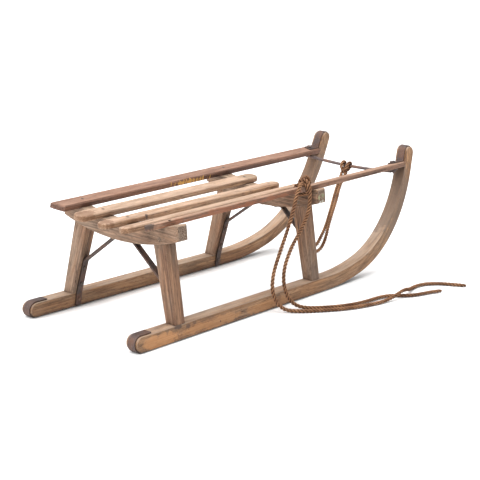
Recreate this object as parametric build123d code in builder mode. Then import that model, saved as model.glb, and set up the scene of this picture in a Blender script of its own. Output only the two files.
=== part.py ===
from build123d import *
import math
import os

os.makedirs("parts", exist_ok=True)

# A wooden sledge. X runs from the heel to the upturned tips, Y to the left, Z up.
# The origin is on the ground, midway along and across the runners.

# ---- driving dimensions, millimetres and degrees ----
track_width = 340.0          # over the runners' outer edges, on the ground
straight_run = 641.0         # heel rounding to the start of the sweep
heel_to_rear_legs = 133.5    # rearmost point to the middle of the rear legs
leg_spacing = 475.5          # middle of the rear legs to middle of the front legs

runner_lean = 5.0            # runners lean inwards towards their tips
runner_width = 30.0
runner_depth = 31.0
lower_bend_radius = 581.5    # sweep, on the runner's centre line
lower_turn = 14.0
upper_bend_radius = 289.5
upper_turn = 61.0
tip_run = 45.0               # straight wood below the tip's rounding

iron_width = 19.0            # flat iron under each runner
iron_thick = 3.0
iron_tail = 50.0             # how far the iron comes forward over the heel
tab_length = 40.0            # iron turned back over the rail
tab_width = 18.0

leg_depth = 31.0             # along X
leg_foot_width = 28.0        # across, on top of the runner
leg_outer_lean = 11.1
leg_inner_lean = 14.2
leg_tenon_width = 13.0
leg_tenon_depth = 22.0       # along X
leg_tenon_height = 20.0

crossbar_depth = 34.0        # along X
crossbar_height = 37.3       # at the middle
crossbar_under_radius = 498.0
crossbar_top_radius = 543.0
crossbar_clearance = 182.0   # ground to the rear crossbar's underside, at the middle
crossbar_rise = 7.5          # the front crossbar stands this much higher
rear_crossbar_length = 330.0
front_crossbar_length = 338.0
crossbar_end_cut = 5.0       # the ends slope in by this much at the top
crossbar_edge_cut = 3.5      # worn off the edges of the ends

housing = 0.8                # boards are let this far into the crossbars
rail_width = 30.0
rail_thick = 13.0
rail_edge_cut = 2.5
rail_rear_y = 128.0
rail_front_y = 131.0
rail_rear_overhang = 78.0    # behind the middle of the rear legs
rail_tongue = 4.0            # let into the back of the runner's tip
split_width = 12.0           # torn off the outside of the right rail

slat_thick = 13.0
slat_top_round = 5.0
slat_under_round = 3.0
slat_names = ["left_slat", "middle_slat", "right_slat"]
slat_rear_y = [64.0, -9.0, -80.0]
slat_front_y = [63.0, -12.0, -80.0]
slat_widths = [35.0, 32.0, 30.0]
slat_rear_overhangs = [77.0, 80.0, 91.0]
slat_front_overhangs = [41.0, 32.0, 34.0]

stay_width = 14.5            # along X
stay_setback = 4.5           # from the front of its leg
stay_thick = 4.0
stay_foot = 26.0             # lies under the crossbar
stay_low_end = 5.0           # height of the stay's lower end
stay_bends = {"rear_left": 112.0, "rear_right": 112.0, "front_left": 122.0, "front_right": 142.0}
stay_landings = {"rear_left": 29.0, "rear_right": 29.0, "front_left": 26.0, "front_right": 54.0}

rod_diameter = 8.0
rod_sag = 6.0                # the pull rod is bent down in the middle
eye_diameter = 21.0          # flattened end of the rod
eye_thick = 4.0
bolt_diameter = 6.0
bolt_head_diameter = 14.0
bolt_head_height = 4.5
bolt_setback = 30.0          # from the back of the tip's iron to the bolt
nut_across = 10.0
nut_height = 5.0
bolt_end = 3.0               # thread past the nut

screw_shank = 3.6
screw_head = 7.5
screw_head_height = 2.0
head_proud = 0.3             # heads on the sweep stand out this much
board_screw_length = 35.0
stay_screw_length = 17.0
iron_screw_length = 18.0
peg_diameter = 9.0

rope_diameter = 8.5
rod_hitch_y = 8.0            # middle of the hitch on the pull rod
rod_turn_spacing = 18.0      # between the hitch's two turns
gather = (438.0, 8.0, 220.0)
gather_radius = 9.5
rail_hitch_x = 62.8          # middle of the hitch on the right rail
rail_hitch_width = 17.0
knob = (64.0, -125.0, 263.0)
knob_radius = 9.5

# ---- worked-out places ----
half_wood = runner_depth / 2
half_shod = half_wood + iron_thick
lean = math.radians(runner_lean)
upper_end = math.radians(lower_turn + upper_turn)
lower_end = math.radians(lower_turn)
tip_ahead = (
    lower_bend_radius * math.sin(lower_end)
    + upper_bend_radius * (math.sin(upper_end) - math.sin(lower_end))
    + tip_run * math.cos(upper_end)
)
length = straight_run + tip_ahead + 2 * half_shod
heel_x = -length / 2 + half_shod
bend_x = heel_x + straight_run
rear_x = -length / 2 + heel_to_rear_legs
front_x = rear_x + leg_spacing
runner_top = (runner_depth + iron_thick) * math.cos(lean)
inner_foot_y = track_width / 2 - runner_top * math.tan(lean) - runner_width
sides = {"left": 1, "right": -1}
ends = {"rear": rear_x, "front": front_x}
rises = {"rear": 0.0, "front": crossbar_rise}
spans = {"rear": rear_crossbar_length, "front": front_crossbar_length}


def under_height(end, y):
    bow = crossbar_under_radius - math.sqrt(crossbar_under_radius**2 - y**2)
    return crossbar_clearance + rises[end] + bow


def top_height(end, y):
    bow = crossbar_top_radius - math.sqrt(crossbar_top_radius**2 - y**2)
    return crossbar_clearance + rises[end] + crossbar_height + bow


def leg_inner_y(z):
    return inner_foot_y - (z - runner_top) * math.tan(math.radians(leg_inner_lean))


def leg_outer_y(z):
    return inner_foot_y + leg_foot_width - (z - runner_top) * math.tan(math.radians(leg_outer_lean))


def runner_plane(side, inset):
    """A runner's side face, x along the sledge and y up the lean."""
    return Plane(
        origin=(0, side * (track_width / 2 - inset), 0),
        x_dir=(1, 0, 0),
        z_dir=(0, -math.cos(lean), -side * math.sin(lean)),
    )


def board_plane(rear_y, front_y):
    """The underside of a board that lies on both crossbars, tilted as their tops are there."""
    start = Vector(rear_x, rear_y, top_height("rear", rear_y) - housing)
    finish = Vector(front_x, front_y, top_height("front", front_y) - housing)
    along = (finish - start).normalized()
    tilt = math.asin((rear_y + front_y) / 2 / crossbar_top_radius)
    up = Vector(0, -math.sin(tilt), math.cos(tilt))
    return Plane(origin=start, x_dir=along, z_dir=up - along * up.dot(along))


# ---- fasteners, drawn head up on a plane ----
def place_screw(plane, shank_length):
    """A round-headed screw standing on the plane."""
    with Locations(plane):
        Cylinder(screw_head / 2, screw_head_height, align=(Align.CENTER, Align.CENTER, Align.MIN))
        Cylinder(screw_shank / 2, shank_length, align=(Align.CENTER, Align.CENTER, Align.MAX))


def place_flush_screw(plane, shank_length):
    """A countersunk screw, its head level with the plane."""
    with Locations(plane):
        Cone(screw_shank / 2, screw_head / 2, screw_head_height, align=(Align.CENTER, Align.CENTER, Align.MAX))
        Cylinder(screw_shank / 2, shank_length, align=(Align.CENTER, Align.CENTER, Align.MAX))


# ---- board planes and outlines ----
rail_planes = {name: board_plane(side * rail_rear_y, side * rail_front_y) for name, side in sides.items()}
slat_planes = {
    name: board_plane(rear_y, front_y)
    for name, rear_y, front_y in zip(slat_names, slat_rear_y, slat_front_y)
}

# where the centre line of a rail's top meets the iron on the back of the tip
tip_plane = runner_plane(1, runner_width / 2)
bend_centre = (
    bend_x + (lower_bend_radius - upper_bend_radius) * math.sin(lower_end),
    half_shod + lower_bend_radius - (lower_bend_radius - upper_bend_radius) * math.cos(lower_end),
)
tip_foot = (
    bend_centre[0] + upper_bend_radius * math.sin(upper_end),
    bend_centre[1] - upper_bend_radius * math.cos(upper_end),
)
rail_run = rail_planes["left"].x_dir
rail_top = rail_planes["left"].from_local_coords((0, 0, rail_thick))


def back_of_tip(depth_from_centre):
    """Where a rail's top meets a line this far behind the tip's centre line, as (x, height)."""
    slope = rail_run.Z / rail_run.X
    point_x = tip_foot[0] - depth_from_centre * math.sin(upper_end)
    point_z = (tip_foot[1] + depth_from_centre * math.cos(upper_end)) * math.cos(lean)
    step = (rail_top.Z + slope * (point_x - rail_top.X) - point_z) / (math.tan(upper_end) - slope)
    return point_x + step, point_z + step * math.tan(upper_end)


tip_back_x, rail_end_height = back_of_tip(half_wood)
iron_back_x = back_of_tip(half_shod)[0]
bolt_run = (iron_back_x - bolt_setback - rail_top.X) / rail_run.X
rail_level = (rail_end_height / math.cos(lean) - tip_foot[1]) / math.sin(upper_end)
iron_back_run = tip_run - rail_level + half_shod / math.tan(upper_end) + iron_thick


def runner_outline(half):
    """The runner's shape at a distance of half from its centre line."""
    with BuildLine() as outline:
        under = Line((heel_x, half_shod - half), (bend_x, half_shod - half))
        lower = JernArc(under @ 1, under % 1, lower_bend_radius + half, lower_turn)
        upper = JernArc(lower @ 1, lower % 1, upper_bend_radius + half, upper_turn)
        front = Line(upper @ 1, upper @ 1 + (upper % 1) * tip_run)
        tip = JernArc(front @ 1, front % 1, half, 180)
        back = Line(tip @ 1, tip @ 1 + (tip % 1) * tip_run)
        upper_back = JernArc(back @ 1, back % 1, upper_bend_radius - half, -upper_turn)
        lower_back = JernArc(upper_back @ 1, upper_back % 1, lower_bend_radius - half, -lower_turn)
        top = Line(lower_back @ 1, (heel_x, half_shod + half))
        JernArc(top @ 1, (-1, 0), half, 180)
    return outline.line


def strap_path(half):
    """The iron's path at a distance of half from the runner's centre line, tail to tab."""
    with BuildLine() as path:
        tail = Line((heel_x + iron_tail - half_shod, half_shod + half), (heel_x, half_shod + half))
        heel = JernArc(tail @ 1, tail % 1, half, 180)
        under = Line(heel @ 1, (bend_x, half_shod - half))
        lower = JernArc(under @ 1, under % 1, lower_bend_radius + half, lower_turn)
        upper = JernArc(lower @ 1, lower % 1, upper_bend_radius + half, upper_turn)
        front = Line(upper @ 1, upper @ 1 + (upper % 1) * tip_run)
        tip = JernArc(front @ 1, front % 1, half, 180)
        Line(tip @ 1, tip @ 1 + (tip % 1) * iron_back_run)
    return path.line


def place_bolt(name):
    """The bolt through the iron's tab, the rail and the rod's eye."""
    plane = rail_planes[name]
    head = plane.from_local_coords((bolt_run, 0, rail_thick + iron_thick))
    grip = iron_thick + rail_thick + eye_thick + nut_height + bolt_end
    with Locations(Plane(head, x_dir=plane.x_dir, z_dir=plane.z_dir)):
        Cylinder(bolt_diameter / 2, grip, align=(Align.CENTER, Align.CENTER, Align.MAX))
        Cylinder(bolt_head_diameter / 2, bolt_head_height, align=(Align.CENTER, Align.CENTER, Align.MIN))


# ---- bolts and nuts ----
with BuildPart() as tab_bolts:
    for name in sides:
        place_bolt(name)
    crowns = tab_bolts.faces().sort_by(Axis.Z)[-2:]
    fillet(crowns.edges(), bolt_head_height * 0.6)
tab_bolts.part.label = "tab_bolts"
export_step(tab_bolts.part, "parts/tab_bolts.step")

with BuildPart() as tab_nuts:
    for name in sides:
        plane = rail_planes[name]
        seat = plane.from_local_coords((bolt_run, 0, -eye_thick))
        with BuildSketch(Plane(seat, x_dir=plane.x_dir, z_dir=plane.z_dir)):
            RegularPolygon(nut_across / 2, 6, major_radius=False)
        extrude(amount=-nut_height)
    add(tab_bolts.part, mode=Mode.SUBTRACT)
tab_nuts.part.label = "tab_nuts"
export_step(tab_nuts.part, "parts/tab_nuts.step")

# ---- pull rod, its ends flattened into eyes under the rails ----
with BuildPart() as pull_rod:
    reach = nut_across * 0.58 + 2
    drop = -eye_thick - rod_diameter / 4
    rod_ends = {}
    for name, side in sides.items():
        rod_ends[name] = rail_planes[name].from_local_coords((bolt_run, -side * reach, drop))
    middle = (rod_ends["left"] + rod_ends["right"]) / 2 - Vector(0, 0, rod_sag)
    with BuildLine():
        rod_arc = ThreePointArc(rod_ends["left"], middle, rod_ends["right"])
    with BuildSketch(Plane(rod_arc @ 0, z_dir=rod_arc % 0)):
        Circle(rod_diameter / 2)
    sweep()
    for name in sides:
        plane = rail_planes[name]
        centre = plane.from_local_coords((bolt_run, 0, 0))
        with Locations(Plane(centre, x_dir=plane.x_dir, z_dir=plane.z_dir)):
            Cylinder(eye_diameter / 2, eye_thick, align=(Align.CENTER, Align.CENTER, Align.MAX))
    add(tab_bolts.part, mode=Mode.SUBTRACT)
pull_rod.part.label = "pull_rod"
export_step(pull_rod.part, "parts/pull_rod.step")


# ---- screws ----
def board_screw_plane(plane, end, thick):
    across = ends[end]
    run = (across - plane.origin.X) / plane.x_dir.X
    return Plane(plane.from_local_coords((run, 0, thick)), x_dir=plane.x_dir, z_dir=plane.z_dir)


with BuildPart() as seat_screws:
    for end in ends:
        for plane in slat_planes.values():
            place_flush_screw(board_screw_plane(plane, end, slat_thick), board_screw_length)
        for plane in rail_planes.values():
            place_flush_screw(board_screw_plane(plane, end, rail_thick), board_screw_length - slat_thick)
seat_screws.part.label = "seat_screws"
export_step(seat_screws.part, "parts/seat_screws.step")


def sole_plane(side, turn):
    """On the iron's outer face, this many degrees round the sweep."""
    angle = math.radians(turn)
    if turn <= lower_turn:
        centre = (bend_x, half_shod + lower_bend_radius)
        radius = lower_bend_radius + half_shod
    else:
        centre = bend_centre
        radius = upper_bend_radius + half_shod
    flat = (centre[0] + radius * math.sin(angle), centre[1] - radius * math.cos(angle))
    point = runner_plane(side, runner_width / 2).from_local_coords((flat[0], flat[1], 0))
    normal = Vector(math.sin(angle) * math.cos(lean), 0, -math.cos(angle)).normalized()
    return Plane(point + normal * head_proud, x_dir=(0, 1, 0), z_dir=normal)


with BuildPart() as iron_screws:
    for side in sides.values():
        sole = runner_plane(side, runner_width / 2)
        for part_way in (0.02, 0.34, 0.66, 0.98):
            spot = sole.from_local_coords((heel_x + straight_run * part_way, 0, 0))
            place_flush_screw(Plane(spot, x_dir=(1, 0, 0), z_dir=(0, 0, -1)), iron_screw_length)
        for turn in (10.0, 38.0, 70.0):
            place_flush_screw(sole_plane(side, turn), iron_screw_length)
        tail = sole.from_local_coords((heel_x + iron_tail * 0.35, 2 * half_shod, 0))
        place_flush_screw(Plane(tail, x_dir=(1, 0, 0), z_dir=(0, 0, 1)), iron_screw_length * 0.6)
iron_screws.part.label = "iron_screws"
export_step(iron_screws.part, "parts/iron_screws.step")


# ---- crossbars, before their joints are cut ----
def crossbar_blank(end):
    half = spans[end] / 2
    top_half = half - crossbar_end_cut
    with BuildPart() as blank:
        with BuildSketch(Plane.YZ.offset(ends[end] - crossbar_depth / 2)):
            with BuildLine():
                under = ThreePointArc(
                    (-half, under_height(end, half)), (0, under_height(end, 0)), (half, under_height(end, half))
                )
                top = ThreePointArc(
                    (top_half, top_height(end, top_half)),
                    (0, top_height(end, 0)),
                    (-top_half, top_height(end, top_half)),
                )
                Line(under @ 1, top @ 0)
                Line(top @ 1, under @ 0)
            make_face()
        extrude(amount=crossbar_depth)
    return blank.part


blanks = {end: crossbar_blank(end) for end in ends}

# ---- legs, tenoned into the runners and the crossbars ----
legs = {}
tenon_spots = {}
for end, leg_x in ends.items():
    for name, side in sides.items():
        shoulder = under_height(end, leg_inner_y(crossbar_clearance))
        head = shoulder + crossbar_height * 0.6
        outline = [
            (side * inner_foot_y, runner_top),
            (side * (inner_foot_y + leg_foot_width), runner_top),
            (side * leg_outer_y(head), head),
            (side * leg_inner_y(head), head),
        ]
        foot_y = side * (inner_foot_y + leg_foot_width / 2)
        head_y = side * (leg_inner_y(shoulder) + leg_outer_y(shoulder)) / 2
        tenon_spots[end, name] = head_y
        with BuildPart() as leg:
            with BuildSketch(Plane.YZ.offset(leg_x - leg_depth / 2)):
                with BuildLine():
                    Polyline(*outline, close=True)
                make_face()
            extrude(amount=leg_depth)
            chamfer(leg.edges().filter_by(lambda edge: edge.length > leg_depth * 3), 2.0)
            add(blanks[end], mode=Mode.SUBTRACT)
            with Locations((leg_x, foot_y, runner_top)):
                Box(
                    leg_tenon_depth, leg_tenon_width, leg_tenon_height,
                    align=(Align.CENTER, Align.CENTER, Align.MAX),
                )
            with Locations((leg_x, head_y, shoulder - 10)):
                Box(
                    leg_tenon_depth, leg_tenon_width, leg_tenon_height + 10,
                    align=(Align.CENTER, Align.CENTER, Align.MIN),
                )
        legs[end, name] = leg

# ---- pegs that pin the upper tenons, driven in from behind and before ----
with BuildPart() as crossbar_pegs:
    for (end, name), head_y in tenon_spots.items():
        peg_z = under_height(end, head_y) + leg_tenon_height * 0.55
        with Locations(Plane((ends[end], head_y, peg_z), z_dir=(1, 0, 0))):
            Cylinder(peg_diameter / 2, crossbar_depth + 1)
crossbar_pegs.part.label = "crossbar_pegs"
export_step(crossbar_pegs.part, "parts/crossbar_pegs.step")


# ---- iron stays from the runners up the legs to the crossbars ----
def shifted(points, distance):
    """The same bent line moved sideways to its left, corners kept sharp."""
    moved = []
    for index, point in enumerate(points):
        before = points[max(index - 1, 0)]
        after = points[min(index + 1, len(points) - 1)]
        first = (point - before) if index else (after - point)
        second = (after - point) if index < len(points) - 1 else (point - before)
        first_normal = Vector(-first.Y, first.X).normalized()
        second_normal = Vector(-second.Y, second.X).normalized()
        middle = (first_normal + second_normal).normalized()
        moved.append(point + middle * (distance / middle.dot(first_normal)))
    return moved


stays = {}
screw_planes = []
for end, leg_x in ends.items():
    for name, side in sides.items():
        corner = f"{end}_{name}"
        bend = stay_bends[corner]
        landing = stay_landings[corner]
        low_y = track_width / 2 - stay_low_end * math.tan(lean) - runner_width
        foot_end = landing - stay_foot
        surface = [
            Vector(low_y, stay_low_end),
            Vector(inner_foot_y, runner_top),
            Vector(leg_inner_y(bend), bend),
            Vector(landing, under_height(end, landing)),
            Vector(foot_end, under_height(end, foot_end)),
        ]
        middle_line = shifted(surface, stay_thick / 2)
        stay_x = leg_x + leg_depth / 2 - stay_setback - stay_width
        with BuildPart() as stay:
            with BuildSketch(Plane.YZ.offset(stay_x)):
                with BuildLine() as stay_line:
                    FilletPolyline(*[(side * point.X, point.Y) for point in middle_line], radius=9)
                trace(stay_line.line, line_width=stay_thick)
            extrude(amount=stay_width)
        stays[corner] = stay
        across = stay_x + stay_width / 2
        inside = shifted(surface, stay_thick)
        for first, second, part_way in ((0, 1, 0.5), (1, 2, 0.3), (1, 2, 0.8), (3, 4, 0.75)):
            run = inside[second] - inside[first]
            spot = inside[first] + run * part_way
            normal = Vector(0, -side * run.Y, run.X).normalized()
            screw_planes.append(Plane((across, side * spot.X, spot.Y), x_dir=(1, 0, 0), z_dir=normal))

with BuildPart() as stay_screws:
    for plane in screw_planes:
        place_screw(plane, stay_screw_length)
stay_screws.part.label = "stay_screws"
export_step(stay_screws.part, "parts/stay_screws.step")

for corner, stay in stays.items():
    with stay:
        add(stay_screws.part, mode=Mode.SUBTRACT)
    stay.part.label = f"{corner}_stay"
    export_step(stay.part, f"parts/{corner}_stay.step")

# ---- slats ----
slats = []
for index, name in enumerate(slat_names):
    plane = slat_planes[name]
    rear_end = -slat_rear_overhangs[index]
    front_end = leg_spacing + slat_front_overhangs[index]
    with BuildPart() as slat:
        with BuildSketch(plane):
            with Locations(((rear_end + front_end) / 2, 0)):
                SlotOverall(front_end - rear_end, slat_widths[index])
        extrude(amount=slat_thick)
        upper = slat.faces().sort_by(Axis(plane.origin, plane.z_dir))[-1]
        fillet(upper.edges(), slat_top_round)
        lower = slat.faces().sort_by(Axis(plane.origin, plane.z_dir))[0]
        fillet(lower.edges(), slat_under_round)
        add(seat_screws.part, mode=Mode.SUBTRACT)
    slat.part.label = name
    export_step(slat.part, f"parts/{name}.step")
    slats.append(slat)

# ---- rails; the right one has lost its outer half from the rear to the front crossbar ----
rail_end = (tip_back_x - rail_top.X) / rail_run.X + rail_tongue
half_rail = rail_width / 2
split_end = leg_spacing - 34.0
rail_outlines = {
    "left": [
        (-rail_rear_overhang + 14, -half_rail),
        (rail_end + 12, -half_rail),
        (rail_end + 12, half_rail),
        (-rail_rear_overhang, half_rail),
        (-rail_rear_overhang + 2, half_rail - 9),
    ],
    "right": [
        (-58, half_rail),
        (-66, half_rail - 9),
        (-57, split_width - half_rail + 4),
        (-20, split_width - half_rail + 1),
        (40, split_width - half_rail),
        (170, split_width - half_rail + 2),
        (300, split_width - half_rail - 1),
        (split_end - 30, split_width - half_rail + 1),
        (split_end - 8, split_width - half_rail - 2),
        (split_end, -half_rail),
        (rail_end + 12, -half_rail),
        (rail_end + 12, half_rail),
    ],
}
rails = {}
for name, side in sides.items():
    plane = rail_planes[name]
    with BuildPart() as rail:
        with BuildSketch(plane):
            with BuildLine():
                Polyline(*rail_outlines[name], close=True)
            make_face()
        extrude(amount=rail_thick)
        upper = rail.faces().sort_by(Axis(plane.origin, plane.z_dir))[-1]
        chamfer(upper.edges(), rail_edge_cut)
        with BuildSketch(runner_plane(side, -runner_width)):
            with BuildLine():
                start = Vector(tip_foot[0] - (half_wood - rail_tongue) * math.sin(upper_end),
                               tip_foot[1] + (half_wood - rail_tongue) * math.cos(upper_end))
                rise = Vector(math.cos(upper_end), math.sin(upper_end)) * (2 * tip_run)
                Polyline(start - rise, start + rise, start + rise + Vector(200, 0),
                         start - rise + Vector(200, 0), close=True)
            make_face()
        extrude(amount=4 * runner_width, dir=(0, -side, 0), mode=Mode.SUBTRACT)
        add(seat_screws.part, mode=Mode.SUBTRACT)
        add(tab_bolts.part, mode=Mode.SUBTRACT)
    rail.part.label = f"{name}_rail"
    export_step(rail.part, f"parts/{name}_rail.step")
    rails[name] = rail

# ---- crossbars, with their mortises and housings ----
for end in ends:
    with BuildPart() as crossbar:
        add(blanks[end])
        end_faces = crossbar.faces().sort_by(Axis.Y)
        chamfer((end_faces[0].edges() + end_faces[-1].edges()), crossbar_edge_cut)
        for board in slats + list(rails.values()):
            add(board.part, mode=Mode.SUBTRACT)
        for name in sides:
            add(legs[end, name].part, mode=Mode.SUBTRACT)
            add(stays[f"{end}_{name}"].part, mode=Mode.SUBTRACT)
        add(crossbar_pegs.part, mode=Mode.SUBTRACT)
        add(seat_screws.part, mode=Mode.SUBTRACT)
        add(stay_screws.part, mode=Mode.SUBTRACT)
    crossbar.part.label = f"{end}_crossbar"
    export_step(crossbar.part, f"parts/{end}_crossbar.step")

# ---- runners and their irons ----
outer_path = strap_path(half_shod)
inner_path = strap_path(half_wood)
for name, side in sides.items():
    with BuildPart() as runner:
        with BuildSketch(runner_plane(side, 0)):
            add(runner_outline(half_wood))
            make_face()
        extrude(amount=runner_width, dir=(0, -side, 0))
        for end in ends:
            add(legs[end, name].part, mode=Mode.SUBTRACT)
        add(rails[name].part, mode=Mode.SUBTRACT)
        add(iron_screws.part, mode=Mode.SUBTRACT)
        add(stay_screws.part, mode=Mode.SUBTRACT)
    runner.part.label = f"{name}_runner"
    export_step(runner.part, f"parts/{name}_runner.step")

    plane = rail_planes[name]
    with BuildPart() as runner_iron:
        with BuildSketch(runner_plane(side, (runner_width - iron_width) / 2)):
            with BuildLine():
                add(outer_path)
                add(inner_path)
                Line(outer_path @ 0, inner_path @ 0)
                Line(outer_path @ 1, inner_path @ 1)
            make_face()
        extrude(amount=iron_width, dir=(0, -side, 0))
        with BuildSketch(Plane(plane.from_local_coords((0, 0, rail_thick)), x_dir=plane.x_dir, z_dir=plane.z_dir)):
            with Locations((bolt_run + bolt_setback - tab_length / 2 + iron_thick / 2, 0)):
                Rectangle(tab_length, tab_width)
        extrude(amount=iron_thick)
        add(rails[name].part, mode=Mode.SUBTRACT)
        add(iron_screws.part, mode=Mode.SUBTRACT)
        add(tab_bolts.part, mode=Mode.SUBTRACT)
    runner_iron.part.label = f"{name}_runner_iron"
    export_step(runner_iron.part, f"parts/{name}_runner_iron.step")

for (end, name), leg in legs.items():
    with leg:
        add(crossbar_pegs.part, mode=Mode.SUBTRACT)
        add(stay_screws.part, mode=Mode.SUBTRACT)
    leg.part.label = f"{end}_{name}_leg"
    export_step(leg.part, f"parts/{end}_{name}_leg.step")

# ---- rope, doubled between its two hitches, with two loose tails; each point is chosen ----
rope_routes = {
    "rope_strand_left": [
        (433, 12, 218), (415, 4, 205), (382, -10, 189), (349, -25, 169), (317, -41, 152), (283, -57, 133),
        (251, -71, 114), (219, -83, 101), (188, -94, 88), (160, -100, 85), (139, -103, 96),
        (126, -105, 120), (119, -106, 156), (116, -106, 192), (114, -105, 224), (110, -106, 244),
        (101, -110, 256), (87, -116, 261), (70, -121, 259),
    ],
    "rope_strand_right": [
        (438, 3, 216), (407, -9, 204), (377, -21, 190), (342, -39, 171), (312, -53, 156), (281, -67, 139),
        (253, -79, 120), (231, -90, 103), (208, -98, 84), (182, -104, 75), (159, -109, 78),
        (144, -112, 95), (135, -112, 121), (130, -110, 150), (127, -109, 180), (126, -108, 208),
        (124, -107, 235), (117, -109, 255), (103, -113, 268), (86, -118, 272), (70, -123, 268),
    ],
    "rope_tail_left": [
        (60, -132, 263), (47, -139, 265), (33, -144, 262), (21, -148, 252), (10, -151, 236),
        (-1, -155, 216), (-17, -159, 193), (-35, -164, 169), (-54, -168, 145), (-73, -173, 122),
        (-90, -177, 100), (-102, -181, 76), (-106, -185, 53), (-102, -190, 33), (-91, -196, 16),
        (-78, -206, 6), (-64, -222, 4.3), (-44, -240, 4.3), (-17, -258, 4.3), (14, -278, 4.3),
        (50, -295, 4.3), (88, -307, 4.3), (122, -315, 4.3), (152, -319, 4.6), (178, -323, 11),
        (203, -326, 21), (235, -322, 21), (265, -314, 11), (295, -305, 4.3), (326, -305, 4.3),
        (352, -314, 4.3), (375, -333, 4.3), (392, -359, 4.3), (408, -387, 4.3),
    ],
    "rope_tail_right": [
        (66, -131, 270), (64, -142, 269), (62, -150, 257), (61, -153, 238), (58, -156, 216),
        (46, -160, 194), (27, -163, 175), (5, -168, 158), (-18, -171, 141), (-39, -176, 122),
        (-56, -180, 102), (-66, -184, 80), (-68, -188, 57), (-61, -192, 35), (-50, -197, 18),
        (-39, -207, 8), (-28, -222, 4.3), (-8, -240, 4.3), (20, -259, 4.3), (58, -277, 4.3),
        (98, -288, 4.3), (132, -291, 4.3), (162, -293, 4.3), (188, -299, 4.3), (207, -311, 4.3),
        (223, -328, 4.3), (243, -341, 4.3), (270, -349, 4.3), (298, -356, 4.3), (324, -367, 4.3),
    ],
}

rope_tubes = {}
for name, points in rope_routes.items():
    corners = [Vector(*point) for point in points]
    radii = []
    for before, corner, after in zip(corners, corners[1:], corners[2:]):
        turn = (corner - before).get_angle(after - corner)
        shorter = min((corner - before).length, (after - corner).length)
        radii.append(0.45 * shorter / math.tan(math.radians(turn / 2)))
    with BuildPart() as tube:
        with BuildLine():
            route = FilletPolyline(*corners, radius=radii)
        with BuildSketch(Plane(route @ 0, z_dir=route % 0)):
            Circle(rope_diameter / 2)
        sweep()
    tube.part.label = name
    export_step(tube.part, f"parts/{name}.step")
    rope_tubes[name] = tube
    filled = tube.part.volume / (math.pi * rope_diameter**2 / 4 * route.length)
    print(name, "length", round(route.length), "volume ratio", round(filled, 3))
    print(name, "radii", [round(radius) for radius in radii])

with BuildPart() as rod_hitch:
    share = (rod_ends["left"].Y - rod_hitch_y) / (rod_ends["left"].Y - rod_ends["right"].Y)
    half_turns = rod_turn_spacing / 2 / rod_arc.length
    for place in (share - half_turns, share + half_turns):
        with Locations(Plane(rod_arc @ place, z_dir=rod_arc % place)):
            Torus((rod_diameter + rope_diameter) / 2 - 0.4, rope_diameter / 2)
    with Locations(gather):
        Sphere(gather_radius)
    add(pull_rod.part, mode=Mode.SUBTRACT)
    add(rope_tubes["rope_strand_left"].part, mode=Mode.SUBTRACT)
    add(rope_tubes["rope_strand_right"].part, mode=Mode.SUBTRACT)
rod_hitch.part.label = "rod_hitch"
export_step(rod_hitch.part, "parts/rod_hitch.step")

with BuildPart() as rail_hitch:
    plane = rail_planes["right"]
    run = (rail_hitch_x - rail_hitch_width / 2 - plane.origin.X) / plane.x_dir.X
    middle = plane.from_local_coords((run, 0, rail_thick / 2))
    with BuildSketch(Plane(middle, x_dir=plane.y_dir, z_dir=plane.x_dir)):
        RectangleRounded(
            rail_width + 2 * rope_diameter, rail_thick + 2 * rope_diameter, rope_diameter,
        )
    extrude(amount=rail_hitch_width)
    with Locations(knob):
        Sphere(knob_radius)
    add(rails["right"].part, mode=Mode.SUBTRACT)
    for tube in rope_tubes.values():
        add(tube.part, mode=Mode.SUBTRACT)
rail_hitch.part.label = "rail_hitch"
export_step(rail_hitch.part, "parts/rail_hitch.step")
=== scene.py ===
import bmesh
import bpy
import math
from mathutils import Matrix, Vector, noise


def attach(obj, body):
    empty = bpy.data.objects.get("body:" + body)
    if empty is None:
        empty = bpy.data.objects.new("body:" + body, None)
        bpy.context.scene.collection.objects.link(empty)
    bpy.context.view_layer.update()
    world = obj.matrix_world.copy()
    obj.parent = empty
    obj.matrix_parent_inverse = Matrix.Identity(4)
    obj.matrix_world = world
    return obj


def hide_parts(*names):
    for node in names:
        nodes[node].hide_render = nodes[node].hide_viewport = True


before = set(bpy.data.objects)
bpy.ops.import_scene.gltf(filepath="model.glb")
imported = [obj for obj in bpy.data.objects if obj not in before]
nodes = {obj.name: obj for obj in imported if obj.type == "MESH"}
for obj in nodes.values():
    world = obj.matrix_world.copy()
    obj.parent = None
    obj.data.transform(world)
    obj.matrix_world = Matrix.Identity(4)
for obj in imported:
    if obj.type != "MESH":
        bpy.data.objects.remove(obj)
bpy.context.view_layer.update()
scene = bpy.context.scene
print("frame loaded:", len(nodes), "nodes")

# camera: yaw, pitch and roll in degrees, the lens and the sensor in millimetres
cameraSettings = {
    "place": (-2.2164, -1.7548, 0.8439),
    "yaw": -51.698,
    "pitch": -14.496,
    "roll": 2.684,
    "lens": 93.5,
    "sensor": 36,
}


def makeCamera(settings):
    yaw, pitch, roll = (math.radians(settings[key]) for key in ("yaw", "pitch", "roll"))
    ahead = Vector((-math.sin(yaw) * math.cos(pitch), math.cos(yaw) * math.cos(pitch), math.sin(pitch)))
    right = Vector((math.cos(yaw), math.sin(yaw), 0))
    up = right.cross(ahead)
    rolledRight = right * math.cos(roll) + up * math.sin(roll)
    rolledUp = up * math.cos(roll) - right * math.sin(roll)
    data = bpy.data.cameras.new("camera")
    data.lens = settings["lens"]
    data.sensor_width = settings["sensor"]
    camera = bpy.data.objects.new("camera", data)
    camera.matrix_world = Matrix.Translation(settings["place"]) @ Matrix(
        (rolledRight, rolledUp, -ahead)
    ).transposed().to_4x4()
    scene.collection.objects.link(camera)
    scene.camera = camera


makeCamera(cameraSettings)


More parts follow.
